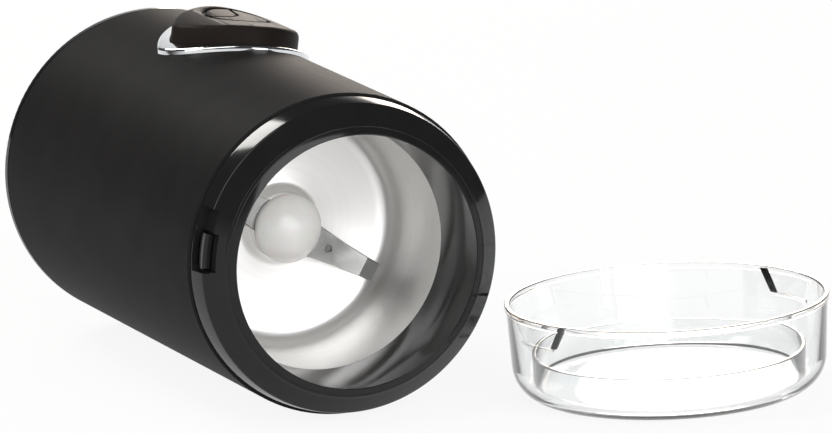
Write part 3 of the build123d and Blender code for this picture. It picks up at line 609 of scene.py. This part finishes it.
def makeBlade():
    b = blade
    # The bar starts one unit wide, is cut where it bends, and then gets its widths and rises.
    bm = bmesh.new()
    bmesh.ops.create_cube(bm, size=1, matrix=Matrix.Diagonal((2 * b["end"], 1, b["sheet"], 1)))
    groundLine = 0.5 - b["groundWidth"] / b["bendWidth"]
    cuts = []
    for side in (-1, 1):
        cuts += [((side * b[reach], 0, 0), (1, 0, 0)) for reach in ("rootEnd", "bend", "tipStart")]
    cuts += [((0, side * groundLine, 0), (0, 1, 0)) for side in (-1, 1)]
    for point, normal in cuts:
        bmesh.ops.bisect_plane(bm, geom=bm.verts[:] + bm.edges[:] + bm.faces[:],
                               plane_co=point, plane_no=normal)
    for vert in bm.verts:
        reach = abs(vert.co.x)
        leading = vert.co.x * vert.co.y > 0 and abs(vert.co.y) > groundLine + b["play"]
        if leading and reach > b["rootEnd"] + b["groundGap"] and vert.co.z > 0:
            vert.co.z -= b["groundDepth"]
        vert.co.y *= bladeWidth(reach)
        vert.co.z += bladeRise(reach)
    bendAngle, edgeAngle = math.radians(b["tipBendAngle"]), math.radians(b["edgeAngle"])
    bent = [edge for edge in bm.edges if len(edge.link_faces) == 2 and atTipBend(edge)
            and bendAngle < edge.calc_face_angle() < edgeAngle]
    roundOff(bm, bent, b["tipBendRound"], b["tipBendSegments"])
    sharp = [edge for edge in bm.edges
             if len(edge.link_faces) == 2 and edge.calc_face_angle() > edgeAngle]
    roundOff(bm, sharp, b["edge"], b["edgeSegments"], clamp=True)
    bmesh.ops.recalc_face_normals(bm, faces=bm.faces)
    place = lying @ turnedBy(b["turn"]) @ Matrix.Translation((0, 0, b["low"] + b["sheet"] / 2))
    piece = meshObject("blade", bm, place)
    armHoles = [(side * b["holeCircle"], b["holeRadius"]) for side in (1, -1)]
    drills = []
    for reach, radius in [(0, b["studHole"]), *armHoles]:
        drill = bmesh.new()
        bmesh.ops.create_cone(drill, cap_ends=True, segments=b["holeSegments"],
                              radius1=radius, radius2=radius, depth=b["drillLength"])
        drills.append(meshObject("holeCutter", drill, place @ Matrix.Translation((reach, 0, 0))))
    cutAway(piece, drills)
    along = place.to_3x3() @ Vector((1, 0, 0))
    rolled = bladeStainless(math.atan2(along.z, along.y))
    fit(piece, rolled, "rotor", "stainless", "blade", smoothAngle=b["smoothAngle"])


makeBlade()
print("bowl, blade and hub done")

# Button: satin top with an engraved coffee bean, cut by round tubes that lie on the curved crown.
# The crease is a line of (across, along) points from the middle of the bean.
bean = {
    "crown": 51.1, "height": 52.6, "aside": -0.6, "halfWidth": 9.0, "halfLength": 11.0,
    "points": 32, "strips": 16, "smoothAngle": 30.0,
    "groove": 0.6, "grooveSegments": 3, "grooveSteps": 4, "grooveOrder": 3, "grooveSeam": 0.001,
    "crownPlay": 0.03, "copySeam": 0.002,  # for the copy of the CAD button
    "crease": (
        (9.2, 0.8), (6.0, 2.6), (2.6, 2.8), (0.2, 1.2), (-0.8, -2.4), (-1.2, -6.4), (-1.9, -11.0),
    ),
}


def onCrown(across, along):
    across += bean["aside"]
    return (math.sqrt(bean["crown"] ** 2 - across ** 2), across, bean["height"] + along)


def grooveCutter(points, closed):
    curve = bpy.data.curves.new("groove", "CURVE")
    curve.dimensions = "3D"
    curve.bevel_depth = bean["groove"]
    curve.bevel_resolution = bean["grooveSegments"]
    curve.use_fill_caps = True
    spline = curve.splines.new("NURBS")
    spline.points.add(len(points) - 1)
    for knot, point in zip(spline.points, points):
        knot.co = (*point, 1)
    spline.use_cyclic_u = closed
    spline.order_u = bean["grooveOrder"]
    spline.use_endpoint_u = not closed
    spline.resolution_u = bean["grooveSteps"]
    holder = bpy.data.objects.new("grooveLine", curve)
    bpy.context.collection.objects.link(holder)
    bm = bmesh.new()
    bm.from_mesh(finishedMesh(holder))
    bpy.data.objects.remove(holder)
    bmesh.ops.remove_doubles(bm, verts=bm.verts, dist=bean["grooveSeam"])
    bmesh.ops.recalc_face_normals(bm, faces=bm.faces)
    return meshObject("grooveCutter", bm, lying)


def onCrownFace(face):
    return all(abs(vert.co.xy.length - bean["crown"]) < bean["crownPlay"] for vert in face.verts)


# The CAD button as a merged copy in drawing mm, its crown cut into strips, 1 mm wide, that
# follow the curve.
def crownedButton():
    bm = bmesh.new()
    bm.from_mesh(frame["nodes"]["button"].data)
    bmesh.ops.transform(bm, matrix=lying.inverted(), verts=bm.verts)
    bmesh.ops.remove_doubles(bm, verts=bm.verts, dist=bean["copySeam"])
    for strip in range(-bean["strips"], bean["strips"] + 1):
        top = [face for face in bm.faces if onCrownFace(face)]
        edges = {edge for face in top for edge in face.edges}
        verts = {vert for face in top for vert in face.verts}
        cut = bmesh.ops.bisect_plane(bm, geom=[*verts, *edges, *top],
                                     plane_co=(0, strip, 0), plane_no=(0, 1, 0))
        for vert in cut["geom_cut"]:
            if isinstance(vert, bmesh.types.BMVert):
                vert.co.x = math.sqrt(bean["crown"] ** 2 - vert.co.y ** 2)
    return meshObject("button", bm, lying)


def makeButton():
    b = bean
    piece = crownedButton()
    turns = [2 * math.pi * i / b["points"] for i in range(b["points"])]
    outline = [onCrown(b["halfWidth"] * math.cos(t), b["halfLength"] * math.sin(t)) for t in turns]
    crease = [onCrown(across, along) for across, along in b["crease"]]
    cutAway(piece, [grooveCutter(outline, True), grooveCutter(crease, False)])
    fit(piece, satinAbs(), "button", "button_black", "button", smoothAngle=b["smoothAngle"])


makeButton()
print("button done")

# Feet: four moulded pads with a rounded rim and a shallow dish.
foot = {
    "radius": 5.5, "proud": 1.6, "sunk": 0.8, "edge": 0.6, "steps": 64,
    "dish": 0.35, "dishShare": 0.55, "rimShare": 0.65, "dishRound": 0.3,
    "circle": 33.0, "firstTurn": 45.0, "count": 4,
}


# Places on a circle round the base, one for each foot or screw.
def roundBase(piece):
    step = fullTurn / piece["count"]
    turns = [turnedBy(piece["firstTurn"] + i * step) for i in range(piece["count"])]
    return [lying @ turn @ Matrix.Translation((piece["circle"], 0, 0)) for turn in turns]


def makeFeet():
    f = foot
    dished = f["dish"] - f["proud"]
    outline = [
        (0, dished, 0),
        (f["radius"] * f["dishShare"], dished, f["dishRound"]),
        (f["radius"] * f["rimShare"], -f["proud"], f["dishRound"]),
        (f["radius"], -f["proud"], f["edge"]),
        (f["radius"], f["sunk"], 0),
        (0, f["sunk"], 0),
    ]
    for number, place in enumerate(roundBase(f), start=1):
        pad = meshObject(f"foot.{number}", lathe(outline, f["steps"]), place)
        fit(pad, rubber, "housing", "black_rubber", "base_feet")


makeFeet()

# Base screws: pan heads with a cross recess.
screw = {
    "head": 3.2, "headLow": 0.2, "headHigh": 1.2, "shank": 1.5, "end": 16.2,
    "edge": 0.5, "steps": 48,
    "recessLength": 3.4, "recessWidth": 0.8, "recessDepth": 0.6,
    "circle": 38.5, "firstTurn": 60.0, "count": 3,
}


def makeBaseScrews():
    s = screw
    outline = [
        (0, s["headLow"], 0),
        (s["head"], s["headLow"], s["edge"]),
        (s["head"], s["headHigh"], 0),
        (s["shank"], s["headHigh"], 0),
        (s["shank"], s["end"], s["edge"]),
        (0, s["end"], 0),
    ]
    length, width = s["recessLength"], s["recessWidth"]
    for number, place in enumerate(roundBase(s), start=1):
        piece = meshObject(f"baseScrew.{number}", lathe(outline, s["steps"]), place)
        onHead = place @ Matrix.Translation((0, 0, s["headLow"]))
        cutters = []
        for size in ((length, width), (width, length)):
            bar = bmesh.new()
            barShape = Matrix.Diagonal((*size, 2 * s["recessDepth"], 1))
            bmesh.ops.create_cube(bar, size=1, matrix=barShape)
            cutters.append(meshObject("recessCutter", bar, onHead))
        cutAway(piece, cutters)
        fit(piece, steel, "housing", "bare_steel", "base_screws")


makeBaseScrews()
print("feet and screws done")

# Lid: clear cup with a beaded rim, a rounded foot and a low ring inside, standing upside down.
# Each arc is given by its middle's radius and height and its own radius, angles in degrees.
lid = {
    "steps": 256, "smoothAngle": 30.0, "radius": 44.98, "height": 27.0, "edge": 0.35,
    "wallRadius": 44.5, "mouthRadius": 43.6, "beadLow": 25.4, "beadFootRound": 0.3,
    "footArc": (33.573, 10.0, 10.0), "footEnd": -3.4, "footSteps": 14,
    "innerArc": (33.9, 10.2, 8.0), "innerStart": -6.8, "innerSteps": 6, "floorSteps": 5,
    "floor": 2.2, "ribOuter": 38.4, "ribInner": 37.2, "ribTop": 12.3, "ribRound": 0.3,
}


def innerArcAngle(radius):
    x, _, r = lid["innerArc"]
    return -math.degrees(math.acos((radius - x) / r))


def makeLid():
    d = lid
    outerX, outerZ, outerR = d["footArc"]
    innerX, innerZ, innerR = d["innerArc"]
    ribOuterAngle, ribInnerAngle = innerArcAngle(d["ribOuter"]), innerArcAngle(d["ribInner"])
    outline = [
        (0, 0, 0),
        *arc((outerX, outerZ), outerR, -90, d["footEnd"], d["footSteps"]),
        (d["wallRadius"], d["beadLow"], d["beadFootRound"]),
        (d["radius"], d["beadLow"], d["edge"]),
        (d["radius"], d["height"], d["edge"]),
        (d["mouthRadius"], d["height"], d["edge"]),
        *arc((innerX, innerZ), innerR, d["innerStart"], ribOuterAngle, d["innerSteps"]),
        (d["ribOuter"], d["ribTop"], d["ribRound"]),
        (d["ribInner"], d["ribTop"], d["ribRound"]),
        *arc((innerX, innerZ), innerR, ribInnerAngle, -90, d["floorSteps"]),
        (0, d["floor"], 0),
    ]
    piece = meshObject("lid", lathe(outline, d["steps"]), lidPlace)
    fit(piece, clearPlastic, "lid", "clear_lid", "lid", smoothAngle=d["smoothAngle"])


makeLid()

# Lid catches: slanted bars inside the rim, each with a thin ridge running from its foot.
catch = {
    "turns": (-66.5, 115.4), "width": 2.0, "inner": 42.3, "outer": 43.5, "low": 20.2, "high": 26.7,
    "lean": 30.0, "edge": 0.18, "edgeSegments": 3,
    "ridgeInner": 42.7, "ridgeOuter": 43.45, "ridgeLow": 19.4, "ridgeHigh": 20.1, "ridgeRound": 0.1,
    "ridgeTurn": 20.0, "ridgeGap": 2.6, "ridgeSteps": 24,
}


def makeCatches():
    c = catch
    # The near-black of the catches is a painted dark reflection, not a colour of the clear plastic.
    paintedDarkReflection = catchPaintedReflection()
    barShape = Matrix.Diagonal((c["outer"] - c["inner"], c["width"], c["high"] - c["low"], 1))
    middle = Matrix.Translation(((c["inner"] + c["outer"]) / 2, 0, (c["low"] + c["high"]) / 2))
    slant = math.tan(math.radians(c["lean"]))
    ridgeOutline = [
        (c["ridgeInner"], c["ridgeLow"], c["ridgeRound"]), (c["ridgeOuter"], c["ridgeLow"], 0),
        (c["ridgeOuter"], c["ridgeHigh"], 0), (c["ridgeInner"], c["ridgeHigh"], c["ridgeRound"]),
    ]
    ridgeStart = turnedBy(-c["ridgeTurn"] - c["ridgeGap"])
    for number, turn in enumerate(c["turns"], start=1):
        place = lidPlace @ turnedBy(turn)
        bar = bmesh.new()
        bmesh.ops.create_cube(bar, size=1, matrix=barShape)
        for vert in bar.verts:
            vert.co.y += vert.co.z * slant
        roundOff(bar, bar.edges[:], c["edge"], c["edgeSegments"])
        fit(meshObject(f"lidCatch.{number}", bar, place @ middle), paintedDarkReflection, "lid", "clear_lid")
        ridge = lathe(ridgeOutline, c["ridgeSteps"], c["ridgeTurn"])
        ridgePiece = meshObject(f"lidRidge.{number}", ridge, place @ ridgeStart)
        fit(ridgePiece, clearPlastic, "lid", "clear_lid")


makeCatches()
print("lid done")

# Camera of the photograph: a long lens, looking down a little with a slight roll, placed from the
# floor under the middle of the base in mm.
view = {
    "focalPixels": 11000.0, "imageWidth": 832.0, "sensorMm": 36.0, "clipEnd": 100.0,
    "yaw": -1.200141, "pitch": 0.208803, "roll": -0.047854, "place": (2916.253, -1052.518, 681.779),
}


def makeCamera():
    yaw, pitch, roll = view["yaw"], view["pitch"], view["roll"]
    level = math.cos(pitch)
    ahead = Vector((math.sin(yaw) * level, math.cos(yaw) * level, -math.sin(pitch)))
    right = Vector((math.cos(yaw), -math.sin(yaw), 0))
    up = right.cross(ahead)
    rolledRight = math.cos(roll) * right + math.sin(roll) * up
    rolledUp = math.cos(roll) * up - math.sin(roll) * right
    data = bpy.data.cameras.new("photoCamera")
    data.sensor_width = view["sensorMm"]
    data.lens = view["focalPixels"] * view["sensorMm"] / view["imageWidth"]
    data.clip_end = view["clipEnd"]
    camera = bpy.data.objects.new("photoCamera", data)
    turn = Matrix((rolledRight, rolledUp, -ahead)).transposed().to_4x4()
    floorPoint = Vector((basePoint.x, basePoint.y, 0))
    camera.matrix_world = Matrix.Translation(floorPoint + Vector(view["place"]) * mm) @ turn
    bpy.context.collection.objects.link(camera)
    bpy.context.scene.camera = camera


makeCamera()

# Studio: a white floor and backdrop in a dim room, in metres and watts. The backdrop is the way it
# lies in. Facing runs from 1 towards it to -1 away from it, and height from 0 level to 1 overhead.
studio = {
    "floorSize": 60.0, "floorDrop": 0.0002, "floorGlow": 0.9, "paper": "#f4f4f4",
    "backdrop": (-0.93, 0.36, 0.0), "backdropFacing": (0.6, 0.92),
    "dimSide": 0.06, "skyLight": 0.32,
    "mirroredWhites": {
        "front": {"facing": (0.1, -0.3), "height": (0.1, 0.32)},
        "back": {"facing": (0.8, 0.95), "height": (0.36, 0.5)},
    },
    "lampTarget": (0, 0, 0.04),
    "lamps": {
        "stripLamp": {
            "place": (-0.2, -1.47, 1.5), "size": (0.4, 2.4), "power": 18.0, "colour": "#fffdf9"},
        "frontLamp": {
            "place": (2.3, -0.12, 0.8), "size": (1.7, 2.0), "power": 46.0, "colour": "#fdfdff"},
        "sparkLamp": {
            "place": (2.2, 0.95, 0.25), "size": (0.25, 0.25), "power": 4.0, "colour": "#fdfdff"},
        "bandLamp": {
            "place": (-1.6, -0.45, 1.35), "size": (0.6, 0.6), "power": 16.0, "colour": "#fffefa"},
        "rimLamp": {
            "place": (-2.2, 1.2, 0.6), "size": (0.8, 0.8), "power": 14.0, "colour": "#fff1e4"},
    },
}


# White paper that camera, mirror and glass see glowing, with the object's shadow left on it.
def makeFloor():
    bm = bmesh.new()
    bmesh.ops.create_grid(bm, x_segments=4, y_segments=4, size=studio["floorSize"] / 2)
    floor = meshObject("floor", bm, Matrix.Translation((0, 0, -studio["floorDrop"])))
    material = startMaterial("whitePaperSweep", studio["paper"], Roughness=0.9)
    tree = material.node_tree
    paths = addNode(tree, "ShaderNodeLightPath").outputs
    seen = addNode(tree, "ShaderNodeMath", {0: paths["Is Camera Ray"], 1: paths["Is Glossy Ray"]},
                   operation="ADD")
    seen = addNode(tree, "ShaderNodeMath", {0: seen.outputs[0], 1: paths["Is Transmission Ray"]},
                   operation="ADD", use_clamp=True)
    share = addNode(tree, "ShaderNodeMath", {0: seen.outputs[0], 1: studio["floorGlow"]},
                    operation="MULTIPLY")
    glow = addNode(tree, "ShaderNodeEmission", {"Color": (1, 1, 1, 1), "Strength": 1.0})
    paper = tree.nodes["Principled BSDF"]
    mixed = addNode(tree, "ShaderNodeMixShader", {
        0: share.outputs[0], 1: paper.outputs[0], 2: glow.outputs[0]})
    tree.links.new(mixed.outputs[0], tree.nodes["Material Output"].inputs["Surface"])
    floor.data.materials.append(material)


# The camera sees white, glass sees the backdrop, mirrors see white low down in front and behind,
# and dull surfaces get an even light.
def makeWorld():
    world = bpy.data.worlds.new("studioRoom")
    world.use_nodes = True
    bpy.context.scene.world = world
    tree = world.node_tree
    paths = addNode(tree, "ShaderNodeLightPath").outputs
    way = addNode(tree, "ShaderNodeTexCoord").outputs["Generated"]
    facing = addNode(tree, "ShaderNodeVectorMath", {0: way, 1: studio["backdrop"]},
                     operation="DOT_PRODUCT").outputs["Value"]
    start, end = studio["backdropFacing"]
    wall = addNode(tree, "ShaderNodeMapRange", {
        "Value": facing, "From Min": start, "From Max": end,
        "To Min": studio["dimSide"], "To Max": 1.0})
    height = addNode(tree, "ShaderNodeSeparateXYZ", {0: way}).outputs["Z"]
    mirrored = studio["dimSide"]
    for white in studio["mirroredWhites"].values():
        start, end = white["facing"]
        low, high = white["height"]
        turned = addNode(tree, "ShaderNodeMapRange", {
            "Value": facing, "From Min": start, "From Max": end})
        below = addNode(tree, "ShaderNodeMapRange", {
            "Value": height, "From Min": low, "From Max": high, "To Min": 1.0, "To Max": 0.0})
        lit = addNode(tree, "ShaderNodeMath", {
            0: turned.outputs["Result"], 1: below.outputs["Result"]}, operation="MULTIPLY")
        mirrored = addNode(tree, "ShaderNodeMath", {0: lit.outputs[0], 1: mirrored},
                           operation="MAXIMUM").outputs[0]
    seenThrough = addNode(tree, "ShaderNodeMix", {
        0: paths["Is Transmission Ray"], 2: studio["skyLight"], 3: wall.outputs["Result"],
    }, data_type="FLOAT")
    room = addNode(tree, "ShaderNodeMix", {
        0: paths["Is Glossy Ray"], 2: seenThrough.outputs[0], 3: mirrored}, data_type="FLOAT")
    level = addNode(tree, "ShaderNodeMix", {
        0: paths["Is Camera Ray"], 2: room.outputs[0], 3: 1.0}, data_type="FLOAT")
    background = tree.nodes["Background"]
    background.inputs["Color"].default_value = (1, 1, 1, 1)
    tree.links.new(level.outputs[0], background.inputs["Strength"])


def makeLamps():
    target = Vector(studio["lampTarget"])
    for name, lamp in studio["lamps"].items():
        data = bpy.data.lights.new(name, "AREA")
        data.shape = "RECTANGLE"
        data.size, data.size_y = lamp["size"]
        data.energy = lamp["power"]
        data.color = linearColour(lamp["colour"])[:3]
        light = bpy.data.objects.new(name, data)
        place = Vector(lamp["place"])
        aim = (target - place).to_track_quat("-Z", "Y").to_matrix().to_4x4()
        light.matrix_world = Matrix.Translation(place) @ aim
        light.visible_camera = False
        bpy.context.collection.objects.link(light)


makeFloor()
makeWorld()
makeLamps()
bpy.context.scene.view_settings.view_transform = "Standard"
print("studio done")
